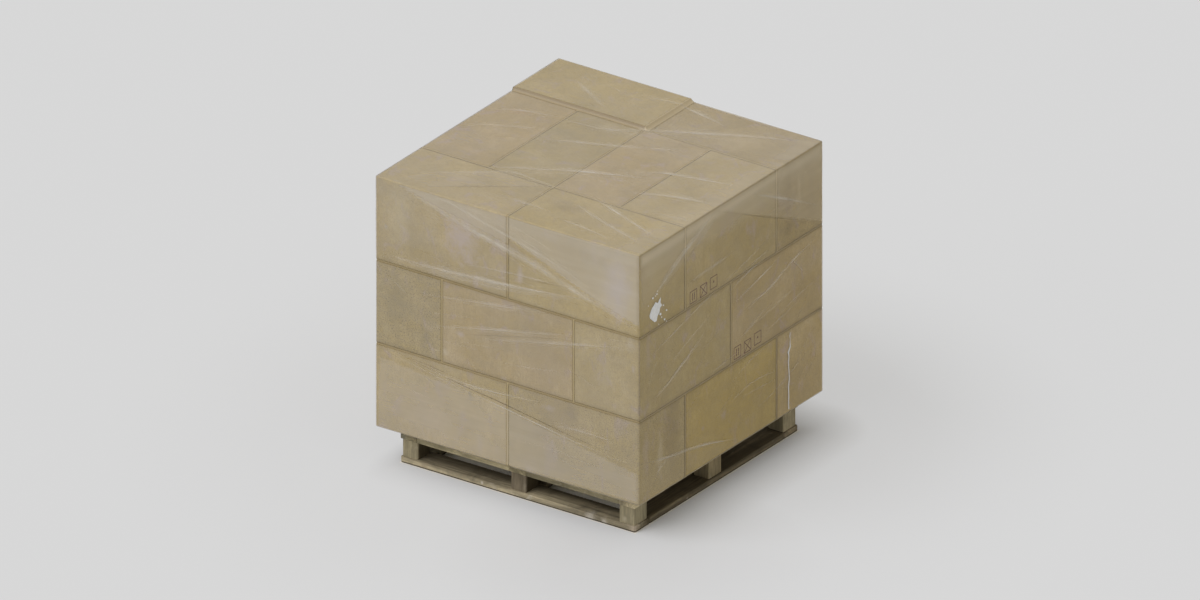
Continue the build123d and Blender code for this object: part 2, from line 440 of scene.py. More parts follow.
# Timber tints; stringer_right and the lead boards are paler than their wood, painted light under the cartons'
# overhang
BROWNED = {
    "base_board_front": (176, 163, 134), "base_board_right": (152, 138, 109),
    "base_board_back": (146, 132, 106), "base_board_middle": (150, 134, 104),
    "block_front_left": (166, 155, 125), "block_front_middle": (150, 136, 112),
    "block_front_right": (168, 157, 127), "block_middle_right": (160, 145, 113),
    "block_back_right": (184, 171, 138), "stringer_right": (222, 206, 168),
    "lead_board_front_left": (194, 182, 146), "lead_board_front_right": (194, 182, 146),
}
# How much dirt and painted shade the upward faces get, where not the full amount
SOILED_AND_SHADED = {"base_board_front": 0.2, "base_board_right": 0.8}
# Timber with painted shade inside the pallet: from where behind its front it starts, and over what length
SHADED = {"base_board_front": (30, 50), "block_front_left": (1, 9), "block_front_middle": (1, 9)}
# Scuffs and stains at the front: place in the photograph's pixels, reach in metres, strength, colour
SPOTS = {
    "base_board_front": [
        (590, 518, 0.03, 0.6, 208, 200, 186),
        (604, 522, 0.02, 0.5, 208, 200, 186),
        (482, 483, 0.008, 0.7, 214, 206, 190),
        (424, 466, 0.02, 0.5, 140, 124, 104),
        (634, 530, 0.03, 0.6, 190, 174, 154),
    ],
    "stringer_left": [(402, 436, 0.03, 0.6, 110, 112, 104)],
    "block_front_right": [(625, 519, 0.012, 0.35, 192, 182, 160)],
    "lead_board_front_left": [(464, 452, 0.012, 0.5, 196, 182, 156)],
}


def dress_pallet():
    """Each board and block gets its own cut of the same weathered timber."""
    seed = 0
    for name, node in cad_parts.items():
        if not name.startswith(("base_board", "block", "stringer", "lead_board", "deck_board")):
            continue
        seed += 1
        is_block = name.startswith("block")
        low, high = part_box(name)
        size = [b - a for a, b in zip(low, high)]
        along = "z" if is_block else "xyz"[size.index(max(size))]
        shade = 0.94 + 0.12 * ((seed * 7) % 5) / 4
        tint = [c * shade for c in BROWNED.get(name, (176, 164, 130))]
        spots = []
        for x, y, reach, strength, *colour in SPOTS.get(name, []):
            u, v = from_photo("front", x, y, -low[1])
            spots.append(((u, low[1], v), [reach] * 3, rgb(*colour), strength))
        start, length = SHADED.get(name, (0, 0))
        inner = (low[1] + start * MM, length * MM) if length else None
        bold = 0.45 if is_block else 1.0
        soiled_and_shaded = SOILED_AND_SHADED.get(name, 1.0)
        set_material(node, timber(f"timber_{name}", along, tint, seed, soiled_and_shaded, spots, bold, inner))


# Film: where its faces lie


def film_point(face, u, v, d):
    """Points of a face of the film: u and v run along it, and d is out of the cartons' faces."""
    u, v, d = np.broadcast_arrays(np.asarray(u, float), v, d)
    places = {
        "front": (u, -HALF - d, v),
        "right": (HALF + d, u, v),
        "back": (-u, HALF + d, v),
        "left": (-HALF - d, -u, v),
        "top": (u, v, TOP + d),
    }
    return np.stack(places[face], axis=-1)


def along_face(face, x, y, z):
    """The u and v of points on a face, the reverse of film_point."""
    return {"right": y, "back": -x, "left": -y}.get(face, x), y if face in ("top", "lip") else z


def span(face):
    """From where to where a face goes along v."""
    return (-HALF, HALF) if face == "top" else (BOTTOM, TOP)


def from_photo(face, x, y, half=HALF):
    """A pixel of the photograph on the plane of a face, as that face's u and v."""
    place = (RIGHT * (x - PHOTO_ORIGIN_X) + UP * (PHOTO_ORIGIN_Y - y)) * METRES_PER_PIXEL
    axis, level = {"front": (1, -half), "right": (0, half), "top": (2, TOP)}[face]
    place += BACK * ((level - place[axis]) / BACK[axis])
    return [part for number, part in enumerate(place) if number != axis]


def row_from_photo(face, *numbers):
    """Points of a face from a row of the photograph's pixels, x and y by turns."""
    return [from_photo(face, *pixel) for pixel in zip(numbers[::2], numbers[1::2])]


def step(value, low, high):
    """A smooth step from 0 at low to 1 at high."""
    t = np.clip((value - low) / (high - low), 0, 1)
    return t * t * (3 - 2 * t)


def hollow(distance, reach):
    """A valley's share of its depth at a distance from its middle."""
    return 1 - step(np.abs(distance), 0, reach)


DIP_REACH = 8 * MM  # from a seam's middle to where the film is flat again
TOP_REACH = 4.5 * MM  # the same for seams of the top
LINE_REACH = 6 * MM  # the same for a seam's dark line
DIP_DEPTH = 2.2 * MM
PROUD_RAMP = 5 * MM  # before the proud carton's front
PROUD_DRAPE = 14 * MM  # beside its right end


def raised(x, y, z):
    """How far the film is lifted at a point by the carton that stands proud of the top layer."""
    over = (1 - step(x, 0, PROUD_DRAPE)) * step(y, QUARTER - PROUD_RAMP, QUARTER)
    return PROUD * over * step(z, TOP - 30 * MM, TOP - SOFT_EDGE)


def layer_at(v):
    return np.clip(np.floor((v - BOTTOM) / LAYER), 0, 2).astype(int)


def seams_near(face, u, v, reach=None):
    """How near a point of a face is to a seam between layers, and to one inside a layer: 1 is on it."""
    reach = reach or (TOP_REACH if face == "top" else DIP_REACH)
    middle = hollow(u, reach)
    beside = hollow(np.abs(u) - QUARTER, reach)
    if face == "top":
        across = hollow(np.abs(v) - QUARTER, reach)
        return np.zeros(np.shape(u)), np.maximum(np.maximum(middle, across), beside * (np.abs(v) < QUARTER))
    in_two = (layer_at(v) == 1) != (face in ("front", "back"))
    level = np.maximum(hollow(v - BOTTOM - LAYER, reach), hollow(v - BOTTOM - 2 * LAYER, reach))
    return level, np.where(in_two, middle, beside)


def proud_step(x, y):
    """How covered with the board's tone and how dark the film is where it steps up in front of and beside the
    proud carton: both painted shade.
    """
    past = y - QUARTER
    beside = (x > -3 * MM) * (1 - step(x, PROUD_DRAPE, 1.7 * PROUD_DRAPE)) * (past > -PROUD_RAMP)
    before = step(past, -15 * MM, -11 * MM) * (1 - step(past, MM, 5 * MM))
    front = step(past, -6 * MM, -2 * MM) * (1 - step(past, 2 * MM, 6 * MM))
    side = 0.16 * hollow(x - 3 * MM, 6 * MM) * (past > -MM)
    near = x < MM
    return 0.93 * np.maximum(beside, before * near), np.maximum(side, (0.19 * before + 0.36 * front) * near)


def rim_shade(face, u, v):
    """How strong the painted shade on the film is, along the upper and nearer rim of the side walls and the
    top's front rim.
    """
    u = -u if face in TWINS else u
    if face == "top":
        return 0.2 * (1 - step(v, -HALF + MM, -HALF + 4 * MM))
    if face in ("front", "back"):
        upper = 0.24 * step(v, TOP - 6 * MM, TOP - 2 * MM)
        nearer = 0.36 * step(u, HALF - 16 * MM, HALF - 5 * MM)
    else:
        upper = 0.75 * step(v, TOP - 7 * MM, TOP - 2 * MM)
        nearer = 0.6 * (1 - step(u, -HALF + 2 * MM, -HALF + 8 * MM))
    return np.maximum(upper, nearer)


def wave(face, u, v):
    """Low waves of taut film: long along the wrap, short across it."""
    seed = FACES.index(face) * 11.3

    def rise(a, b):
        long_way = noise.noise((a * 2.2 + seed, (b + 0.22 * a) * 17, seed))
        return long_way * 0.7 + noise.noise((a * 6, b * 6, seed + 5)) * 0.5

    return np.vectorize(rise)(u, v) * 0.55 * MM


# How deep the film dips over the seams inside the bottom, middle and top layer
SEAM_DIP = {"front": (0.3, 0.45, 0.45), "right": (0.45, 0.45, 0.2)}
SEAM_DIP.update(back=SEAM_DIP["front"], left=SEAM_DIP["right"])
BULGE = {"front": (0.6, 0, 0.8), "right": (1, 1.2, 0), "back": (1.5, 1.5, 0.5), "left": (0.8, 0, 1.5)}


def relief(face, u, v):
    """The film's distance out of the cartons' plane; it is slack over some layers, from the bottom up."""
    level, upright = seams_near(face, u, v)
    if face == "top":
        share = np.where(np.abs(np.abs(v) - QUARTER) < DIP_REACH, 0.08, 0.2) * ((u > 0) | (v < 0.9 * QUARTER))
        slack = 0
    else:
        share = np.array(SEAM_DIP[face])[layer_at(v)]
        low, middle, high = BULGE[face]
        layers = (v - BOTTOM) / LAYER
        slack = low + (middle - low) * step(layers, 0.85, 1.15) + (high - middle) * step(layers, 1.8, 2.5)
    return OUT + wave(face, u, v) - np.maximum(level, share * upright) * DIP_DEPTH + slack * MM


# Film: where it is paler. Each place has its strength, the blur of its edge in millimetres, and its convex
# outline in the photograph's pixels.

HAZE = {
    "front": [
        (0.15, 4, 398, 184, 508, 217, 508, 244, 460, 219, 424, 199),
        (0.16, 4, 508, 217, 640, 256, 640, 332, 604, 306, 560, 280, 508, 247),
        (0.09, 2, 380, 251, 440, 266, 500, 278, 560, 291, 600, 303, 560, 299, 500, 290, 440, 276),
        (0.05, 2, 440, 296, 555, 311, 540, 314, 480, 308),
        (0.05, 2, 440, 327, 560, 334, 640, 345, 640, 352, 560, 346, 480, 339),
        (0.11, 2, 380, 346, 460, 386, 540, 423, 638, 464, 638, 503, 378, 426),
        (0.06, 2, 430, 372, 470, 385, 545, 402, 500, 398, 460, 388),
        (0.07, 24, 376, 176, 440, 196, 440, 245, 378, 250),
        (0.05, 10, 378, 176, 510, 214, 640, 254, 640, 268, 510, 230, 378, 192),
    ],
    "right": [
        (0.12, 4, 714, 209, 822, 143, 822, 221, 775, 218, 740, 213),
        (0.2, 26, 640, 256, 780, 168, 780, 178, 640, 268),
        (0.18, 22, 780, 168, 822, 142, 822, 156, 780, 182),
        (0.1, 50, 640, 256, 780, 168, 780, 196, 640, 292),
        (0.1, 22, 640, 256, 714, 209, 706, 230, 686, 262, 656, 298, 640, 312),
        (0.1, 30, 640, 256, 722, 204, 700, 240, 640, 280),
        (0.06, 3, 640, 464, 665, 458, 690, 449, 742, 439, 640, 502),
        (0.05, 8, 732, 310, 822, 236, 822, 262, 732, 345),
        (0.1, 30, 700, 218, 822, 142, 822, 172, 700, 244),
        (0.07, 40, 640, 256, 686, 228, 686, 300, 640, 330),
    ],
    "top": [
        (0.08, 3, 405, 176, 440, 173, 513, 173, 556, 187, 500, 187, 430, 187),
        (0.08, 26, 640, 258, 824, 144, 806, 138, 622, 247),
        (0.05, 8, 600, 129, 640, 129, 790, 139, 822, 143, 790, 160, 680, 160),
        (0.04, 20, 376, 176, 450, 130, 520, 140, 400, 186),
    ],
}
# Each face's least paleness: haze, with a painted sheen that is strongest on the top and the front
FACE_SHEEN_AND_HAZE = {"front": 0.05, "right": 0.035, "back": 0.04, "left": 0.02, "top": 0.08}
TWINS = {"back": "front", "left": "right"}  # an unseen face's film lies as on the seen one, mirrored


def haze_at(face, u, v):
    """How much paler than its least the film is at points of a face."""
    total = np.full(np.shape(u), FACE_SHEEN_AND_HAZE[face])
    if face in TWINS:
        face, u = TWINS[face], -u
    for amount, blur, *outline in HAZE[face]:
        corners = row_from_photo(face, *outline)
        sides = list(zip(corners, corners[1:] + corners[:1]))
        sign = 1 if sum(a[0] * b[1] - b[0] * a[1] for a, b in sides) > 0 else -1
        inside = np.ones(np.shape(u))
        for (au, av), (bu, bv) in sides:
            away = sign * ((bu - au) * (v - av) - (bv - av) * (u - au)) / math.hypot(bu - au, bv - av)
            inside = np.minimum(inside, step(away, -blur * MM, blur * MM))
        total = np.maximum(total, amount * inside) + 0.4 * np.minimum(total, amount * inside)
    return total


# Film: its mesh

STEP = 8 * MM  # between the mesh's lines
SOFT_EDGE = 4.5 * MM  # radius of the film over the stack's edges
# How dark the painted shade in a face's seams is: between layers, and inside the bottom, middle and top layer
SEAM_SHADE = {"front": (0.02, (0, 0, 0.14)), "right": (0.09, (0.32, 0.06, 0)), "top": (0, (0, 0, 0))}
SEAM_SHADE.update(back=SEAM_SHADE["front"], left=SEAM_SHADE["right"])
LIP = 44 * MM  # how far the film goes in under the stack


def lines(low, high, seams):
    """Where the mesh's lines run between two edges: on seams, evenly between them, and closer beside them."""
    places = []
    knots = [low, *seams, high]
    for a, b in zip(knots, knots[1:]):
        places += list(np.linspace(a, b, round((b - a) / STEP) + 1)[:-1])
        for knot, side in ((a, 1), (b, -1)):
            near = (1.5 * MM, 4 * MM) if knot in seams else (0.22 * SOFT_EDGE, 0.6 * SOFT_EDGE)
            places += [knot + side * offset for offset in near]
    return np.array(sorted(places + [high]))


def film_sheets(faces_wanted):
    """Flat sheets of points for some faces of a box, with each point's face, and the quads between them."""
    edge = HALF + OUT
    across = lines(-edge, edge, (-QUARTER, 0, QUARTER))
    upward = lines(BOTTOM - OUT, TOP + OUT, (BOTTOM + LAYER, BOTTOM + 2 * LAYER))
    last = len(across) - 1
    points, face_of, quads = [], [], []
    for face in faces_wanted:
        if face == "lip":
            u, v = np.meshgrid(np.arange(4 * last + 1), np.array([0, 0.5, 1]) * LIP, indexing="ij")
            side = np.minimum(u // last, 3).astype(int)
            inner = np.clip(across[(u - side * last).astype(int)], -edge + v, edge - v)
            wall = -edge + v
            x = np.choose(side, [inner, -wall, -inner, wall])
            y = np.choose(side, [wall, inner, -wall, -inner])
            sheet = np.stack([x, y, np.full(x.shape, upward[0])], -1)
        else:
            u, v = np.meshgrid(across, across if face == "top" else upward, indexing="ij")
            sheet = film_point(face, u, v, OUT)
        shape = sheet.shape[:2]
        index = len(face_of) + np.arange(shape[0] * shape[1]).reshape(shape)
        quad = np.stack([index[:-1, :-1], index[1:, :-1], index[1:, 1:], index[:-1, 1:]], -1)
        quads.append(quad.reshape(-1, 4)[:, :: -1 if face == "lip" else 1])
        points.append(sheet.reshape(-1, 3))
        face_of += [face] * index.size
    return np.concatenate(points), np.array(face_of), np.concatenate(quads)


def film_mesh(name, faces_wanted):
    """The film over some faces of a box of fine lines, rounded at its edges and then shaped."""
    points, face_of, quads = film_sheets(faces_wanted)
    edge = HALF + OUT
    low = np.array([-edge, -edge, BOTTOM - OUT]) + SOFT_EDGE
    high = np.array([edge, edge, TOP + OUT]) - SOFT_EDGE
    core = np.clip(points, low, high)
    out = points - core
    length = np.linalg.norm(out, axis=1, keepdims=True)
    normal = out / np.maximum(length, 1e-9)
    placed = core + normal * np.minimum(length, SOFT_EDGE)
    shift, haze, cover, crease_shade = np.zeros((4, len(points)))
    uv = np.zeros((len(points), 2))
    for face in faces_wanted:
        mine = face_of == face
        u, v = along_face(face, *points[mine].T)
        uv[mine] = np.stack([u + 2 * HALF * (FACES + ("lip",)).index(face), v], -1)
        if face == "lip":
            continue
        shift[mine] = relief(face, u, v) - OUT
        haze[mine] = haze_at(face, u, v)
        level, upright = seams_near(face, u, v)
        # painted shade over the seams: the film turned opaque in the board's seam tone
        covered = np.maximum(0.8 * level, 0.95 * upright)
        between, within = SEAM_SHADE[face]
        line = np.array(within)[layer_at(v)] * seams_near(face, u, v, LINE_REACH)[1]
        # painted shade along the rims and over the seams
        dark = np.maximum(0.5 * rim_shade(face, u, v), np.maximum(between * level, line))
        if face == "top":
            covered, dark = np.maximum((covered, dark), proud_step(u, v))
        cover[mine], crease_shade[mine] = covered, dark
    placed += normal * shift[:, None]
    placed[:, 2] += raised(*placed.T)
    code = np.round(points / (0.01 * MM)).astype(np.int64)
    _, first, back = np.unique(code, axis=0, return_index=True, return_inverse=True)
    values = {"haze": haze[first], "cover": cover[first], "crease_shade": crease_shade[first]}
    thing = mesh_object(name, placed[first], back.ravel()[quads], **values)
    chart = thing.data.uv_layers.new(name="wrap")
    chart.data.foreach_set("uv", uv[quads.ravel()].ravel())
    return thing


# Film: folds, as low ridges that stand on it. Each has its width in millimetres, its strength, how its far
# side fades (1 is even, and less is sharper), and its path in the photograph's pixels.

# A negative strength draws a dark line, painted shade beside a fold.
FOLDS = {
    "front": [
        (27, 0.7, 1, 398, 184, 420, 198, 460, 222, 500, 245, 540, 268, 572, 289, 604, 308, 638, 331),
        (6, 0.12, 0.5, 406, 186, 424, 199, 462, 221, 502, 243, 541, 266, 573, 287, 605, 307, 638, 330),
        (12, 0.5, 0.8, 414, 185, 450, 203, 490, 226, 524, 245, 560, 267, 594, 291),
        (6, 0.2, 0.7, 440, 196, 480, 214, 510, 231, 548, 256),
        (4, 0.13, 0.6, 462, 202, 500, 222, 530, 240),
        (4, 0.12, 0.6, 480, 208, 520, 230, 560, 256),
        (13, 0.42, 0.7, 596, 301, 580, 298, 540, 291, 500, 283, 480, 278, 440, 269, 383, 253),
        (5, 0.34, 0.4, 590, 300, 560, 295, 520, 287, 480, 279, 440, 269, 400, 259),
        (6, 0.45, 0.4, 462, 263, 500, 271, 530, 278, 572, 288),
        (4, -0.35, 0.6, 528, 280, 550, 284, 572, 289),
        (4, 0.2, 0.6, 386, 273, 396, 283, 408, 295),
        (7, 0.42, 0.5, 420, 293, 440, 297, 480, 303, 520, 309, 552, 311),
        (4, 0.2, 0.6, 424, 312, 450, 315, 476, 319),
        (8, 0.5, 0.6, 428, 326, 470, 328, 520, 332, 578, 336),
        (4, -0.35, 0.6, 465, 334, 520, 337, 572, 339),
        (8, 0.42, 0.6, 478, 339, 530, 342, 580, 345, 624, 348),
        (4, 0.12, 0.6, 500, 362, 530, 368, 560, 372),
        (4, 0.75, 0.4, 382, 349, 420, 368, 460, 388, 500, 406, 540, 425, 580, 444, 638, 467),
        (3.2, -0.75, 0.6, 384, 346, 420, 364, 460, 384, 500, 402, 540, 421, 580, 440, 636, 462),
        (7, 0.45, 0.5, 418, 365, 455, 380, 490, 391, 520, 398, 545, 403),
        (5, 0.3, 0.5, 452, 384, 480, 389, 506, 395),
        (8, 0.5, 0.5, 552, 425, 580, 431, 614, 442),
        (4, -0.3, 0.6, 396, 352, 430, 366, 470, 384),
        (5, 0.12, 0.8, 520, 440, 560, 452, 600, 468),
    ],
    "right": [
        (15, 0.45, 1, 650, 300, 662, 284, 676, 264, 690, 244, 703, 227, 716, 209),
        (5, 0.35, 0.5, 652, 295, 664, 278, 678, 258, 692, 238, 707, 217),
        (6, 0.3, 0.5, 686, 262, 696, 246, 706, 232, 716, 217),
        (5, -0.35, 0.5, 714, 211, 740, 214, 775, 218, 822, 220),
        (10, 0.4, 0.8, 752, 194, 780, 198, 818, 205),
        (8, 0.35, 0.6, 686, 285, 700, 275, 716, 264, 734, 251),
        (4, 0.25, 0.5, 716, 290, 745, 262, 772, 234),
        (3.5, 0.18, 0.5, 730, 284, 754, 262, 776, 242),
        (6, 0.4, 0.5, 732, 305, 757, 280, 782, 254),
        (8, 0.45, 0.5, 742, 312, 770, 287, 790, 263, 815, 238),
        (5, 0.25, 0.6, 734, 345, 752, 325, 766, 312),
        (4, 0.2, 0.6, 764, 332, 784, 314, 806, 290),
        (7, 0.35, 0.5, 650, 402, 664, 388, 680, 367, 704, 336),
        (5, 0.28, 0.5, 656, 350, 676, 330, 700, 305, 724, 284),
        (4, 0.22, 0.6, 648, 358, 664, 342, 684, 322),
        (4, 0.18, 0.6, 698, 352, 712, 338, 730, 312),
        (5, 0.25, 0.6, 732, 382, 752, 358, 772, 342),
        (6, 0.25, 0.6, 730, 402, 752, 382, 778, 369),
        (4, 0.2, 0.6, 744, 420, 775, 390, 800, 360, 814, 343),
        (4, 0.18, 0.6, 708, 376, 724, 362, 742, 348),
        (8, 0.5, 0.5, 641, 464, 665, 458, 690, 449, 712, 443, 738, 439),
        (6, 0.2, 0.7, 654, 478, 661, 466, 668, 458),
        (5, 0.17, 0.7, 650, 488, 656, 478, 660, 462),
        (5, 0.22, 0.5, 660, 392, 684, 360, 712, 322),
        (4, 0.2, 0.6, 664, 372, 690, 338, 716, 308),
        (4, 0.15, 0.6, 646, 392, 652, 372, 662, 352),
        (5, 0.3, 0.5, 726, 294, 746, 274, 768, 254),
        (4, 0.22, 0.5, 740, 336, 756, 318, 774, 300),
        (4, 0.18, 0.6, 754, 326, 776, 304, 800, 282),
        (5, 0.25, 0.5, 776, 316, 796, 297, 816, 277),
        (4, 0.15, 0.6, 786, 254, 796, 264, 806, 274),
        (5, 0.22, 0.5, 740, 398, 758, 388, 776, 378),
    ],
    "top": [
        (10, 0.5, 0.5, 484, 168, 509, 168, 545, 170, 580, 172, 620, 176, 654, 180),
        (9, 0.4, 0.5, 530, 139, 570, 142, 610, 146, 650, 149, 694, 151),
        (13, 0.35, 0.6, 600, 129, 650, 131, 700, 134, 750, 137, 800, 142),
        (10, 0.5, 0.5, 636, 174, 665, 174, 700, 180, 740, 187),
        (14, 0.4, 0.7, 632, 193, 665, 196, 690, 200, 718, 206),
        (8, 0.45, 0.5, 588, 195, 615, 212, 640, 228, 658, 239),
        (8, 0.4, 0.5, 574, 203, 600, 221, 642, 245),
        (7, 0.3, 0.6, 556, 218, 580, 227, 612, 240),
        (7, 0.3, 0.5, 408, 174, 440, 173, 480, 173, 513, 173, 534, 180, 558, 189),
        (6, -0.22, 0.6, 415, 187, 460, 187, 500, 187, 548, 187),
        (12, 0.22, 0.8, 572, 80, 588, 95, 606, 112),
        (7, 0.25, 0.6, 636, 97, 665, 104, 704, 112),
        (9, 0.4, 0.5, 680, 106, 700, 115, 726, 127),
        (8, 0.3, 0.6, 698, 104, 740, 116, 784, 130),
        (9, 0.25, 0.7, 466, 104, 520, 111, 562, 118),
        (8, 0.25, 0.7, 560, 119, 600, 129, 640, 133),
        (9, 0.22, 0.7, 496, 194, 520, 202, 552, 212),
        (8, 0.18, 0.7, 450, 120, 500, 126, 548, 130),
        (8, 0.18, 0.7, 650, 212, 690, 222, 712, 224),
    ],
}


def smooth_path(points, spacing):
    """A Catmull-Rom curve through points of a plane, sampled evenly enough."""
    points = [np.array(p, float) for p in points]
    padded = [2 * points[0] - points[1], *points, 2 * points[-1] - points[-2]]
    path = []
    for a, b, c, d in zip(padded, padded[1:], padded[2:], padded[3:]):
        pieces = max(2, int(np.linalg.norm(c - b) / spacing))
        for t in np.arange(pieces) / pieces:
            bend = (2 * a - 5 * b + 4 * c - d) * t**2 + (3 * b - a - 3 * c + d) * t**3
            path.append(0.5 * (2 * b + (c - a) * t + bend))
    path.append(points[-1])
    return np.array(path)


FOLD_GAIN = {"front": (1.5, 0.85), "right": (1.5, 1.25), "top": (2.5, 1.1)}  # on width and on strength
FINE_FOLDS = 26  # on each face
FOLD_INSET = 6 * MM  # from a face's edges
FOLD_SPACING = 9 * MM
FOLD_LIFT = 0.25 * MM  # off the film, so that the two don't coincide


def fold_jobs():
    """Every fold as its face, path, half width, strength and fade; the unseen faces' are mirrored."""
    draw = random.Random(7)
    jobs = []
    for face, folds in FOLDS.items():
        wider, stronger = FOLD_GAIN[face]
        twin = next((hidden for hidden, seen in TWINS.items() if seen == face), None)
        for width, strength, fade, *path in folds:
            line = np.array(row_from_photo(face, *path))
            width *= wider
            strength = stronger * (0.1 + 0.75 * strength) if strength > 0 else 0.6 * strength
            jobs.append((face, line, width / 2 * MM, strength, fade))
            if strength > 0.18 and width > 9:
                for side in (-1, 1):
                    off = side * draw.uniform(0.55, 1.1) * width * MM
                    aside = [(u, v + off * draw.uniform(0.7, 1.3)) for u, v in line]
                    jobs.append((face, aside, draw.uniform(1.8, 2.6) * MM, 0.45 * strength, 0.6))
            if twin:
                drift = [(draw.uniform(-1, 1) * 12 * MM, draw.uniform(-1, 1) * 9 * MM) for _ in range(2)]
                shifted = line * (-1, 1) + np.linspace(*drift, len(line))
                jobs.append((twin, shifted, width / 2 * MM, strength, fade))
    for face in FACES:
        low, high = span(face)
        for _ in range(FINE_FOLDS):
            u = draw.uniform(-0.5, 0.5)
            v = draw.uniform(low + 0.04, high - 0.04)
            slant = draw.uniform(0.5, 0.9) if face in ("right", "left") else draw.uniform(-0.32, 0.12)
            slant = -slant if face in TWINS else slant
            length = draw.uniform(0.07, 0.26)
            du, dv = length * math.cos(slant), length * math.sin(slant)
            line = [(u + t * du, v + t * dv) for t in (-0.5, 0, 0.5)]
            jobs.append((face, line, draw.uniform(1.6, 2.8) * MM, draw.uniform(0.08, 0.2), 0.6))
    for face, line, half_width, strength, fade in jobs:
        low, high = span(face)
        room = max(FOLD_INSET, half_width) if face == "top" else FOLD_INSET
        kept = np.clip(line, (-HALF + room, low + room), (HALF - room, high - room))
        yield face, kept, half_width, strength, fade


def folds():
    """All folds of the film as one mesh of low tapering ridges, with their strength at each point."""
    points, faces, veils, tones = [], [], [], []
    for number, (face, path, half_width, strength, fade) in enumerate(fold_jobs()):
        line = smooth_path(path, FOLD_SPACING)
        along = np.gradient(line, axis=0)
        along /= np.maximum(np.linalg.norm(along, axis=1, keepdims=True), 1e-9)
        side = np.stack([-along[:, 1], along[:, 0]], -1)
        t = np.linspace(0, 1, len(line))
        taper = np.sin(math.pi * np.clip(t, 0.01, 0.99)) ** 0.7 * (1 + 0.1 * np.sin(t * 9 + number))
        height = min(1.2 * MM, 0.2 * half_width) * (0.35 if strength < 0 else 1)
        near, far = -0.25 - 0.75 * fade, 2.2 - 1.1 * fade
        profile = ((near, 0, 0), (-0.5 * fade, 0.6, 0.6), (0, 1, 1), (0.5, 0.6, 0.55), (far, 0, 0))
        rows, shades = [], []
        for place, rise, shade in profile:
            u, v = (line + side * (place * half_width * taper)[:, None]).T
            row = film_point(face, u, v, relief(face, u, v) + FOLD_LIFT + height * rise * taper)
            row[:, 2] += raised(*row.T)
            rows.append(row)
            shades.append(np.clip(shade * abs(strength) * taper, 0, 1))
        wide = len(profile)
        for i in range(len(line) - 1):
            for k in range(wide - 1):
                a = len(points) + i * wide + k
                faces.append((a, a + wide, a + wide + 1, a + 1))
        points += list(np.stack(rows, 1).reshape(-1, 3))
        veils += np.stack(shades, 1).ravel().tolist()
        tones += [1.0 if strength > 0 else 0.0] * (wide * len(line))
    return mesh_object("film_folds", points, faces, veil=veils, tone=tones)


def film_material(name, seam_tone):
    """Clear film: a thin pale veil with streaks along the wrap and a painted sheen except towards +X, the
    board's tone over seams, painted shade along seams and rims, and gloss.
    """
    n = Nodes(name)
    chart = n.add("ShaderNodeUVMap", uv_map="wrap").outputs[0]
    streak = n.noise(n.stretch(chart, (2.2, 30, 14), turn=(0, 0, 0.2)), 1.0, 3, 0.5, 0.3)
    cloud = n.noise(n.place, 4.5, 3, 0.5)
    haze, cover, crease_shade = (n.attribute(title) for title in ("haze", "cover", "crease_shade"))
    veil = n.math("MULTIPLY", n.ramp(streak, (0.4, 0), (0.75, 1)), 0.035)
    veil = n.math("ADD", veil, n.math("MULTIPLY", n.ramp(cloud, (0.35, 0), (0.7, 1)), 0.05))
    veil = n.math("ADD", n.math("ADD", veil, 0.09), n.math("MULTIPLY", haze, 1.5))
    # painted sheen: the veil greyer and whiter except on faces towards +X
    colour = n.mix(n.ramp(n.facing(0), (0.5, 0), (0.9, 1)), rgb(228, 219, 204), rgb(229, 214, 184))
    # the board's seam tone over the seams, as painted shade
    seam = n.math("MULTIPLY", n.ramp(cover, (0, 0), (0.4, 1)), n.ramp(haze, (0.05, 1), (0.25, 0.45)))
    colour = n.mix(seam, colour, rgb(*seam_tone))
    # painted shade: the dark of seams, rims and the proud carton's step
    colour = n.mix(crease_shade, colour, rgb(88, 64, 28))
    gloss = n.math("MULTIPLY", n.add("ShaderNodeFresnel", {"IOR": 1.4}).outputs[0], 0.3)
    alpha = n.math("ADD", n.math("MAXIMUM", veil, n.math("MAXIMUM", cover, crease_shade)), gloss, clamp=True)
    ripple = n.noise(n.stretch(chart, (5, 60, 30), turn=(0, 0, 0.25)), 1.0, 3, 0.6, 0.5)
    return n.surface(colour, 0.4, (ripple, 0.1, 0.001), 0.4, alpha)


def fold_material():
    """Folded film: layers together are whiter, and a fold's shaded side is painted dark."""
    n = Nodes("film_fold")
    colour = n.mix(n.attribute("tone"), rgb(96, 82, 58), rgb(236, 228, 212))
    broken = n.ramp(n.noise(n.place, 11, 3, 0.6), (0.36, 0.5), (0.6, 1))
    return n.surface(colour, 0.34, alpha=n.math("MULTIPLY", n.attribute("veil"), broken, clamp=True))


def wrap_film():
    sides = film_mesh("film_sides", ("front", "right", "back", "left", "lip"))
    top = film_mesh("film_top", ("top",))
    ridges = folds()
    # seam tones for the sides and the top, painted over seams as their shade
    set_material(sides, film_material("film_veil_sides", (176, 158, 119)))
    set_material(top, film_material("film_veil_top", (189, 171, 134)))
    set_material(ridges, fold_material())
    for thing in (sides, top, ridges):
        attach(thing, "root")
        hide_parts("stretch_film")


# Marks and spills on the right face

INK_LIFT = 0.25 * MM  # off the carton
SPILL_LIFT = OUT + 0.5 * MM  # off the film


def patch(name, face, outlines, d, material):
    """Thin flat shapes on a face, each a ring of (u, v) corners with its middle."""
    points, faces = [], []
    for middle, ring in outlines:
        start, count = len(points), len(ring)
        us, vs = np.array([middle, *ring]).T
        lift = relief(face, us, vs) - OUT if d > OUT else 0
        points += list(film_point(face, us, vs, lift + d))
        faces += [(start, start + 1 + i, start + 1 + (i + 1) % count) for i in range(count)]
    thing = mesh_object(name, points, faces, smooth=False)
    set_material(thing, material)
    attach(thing, "root")
    return thing


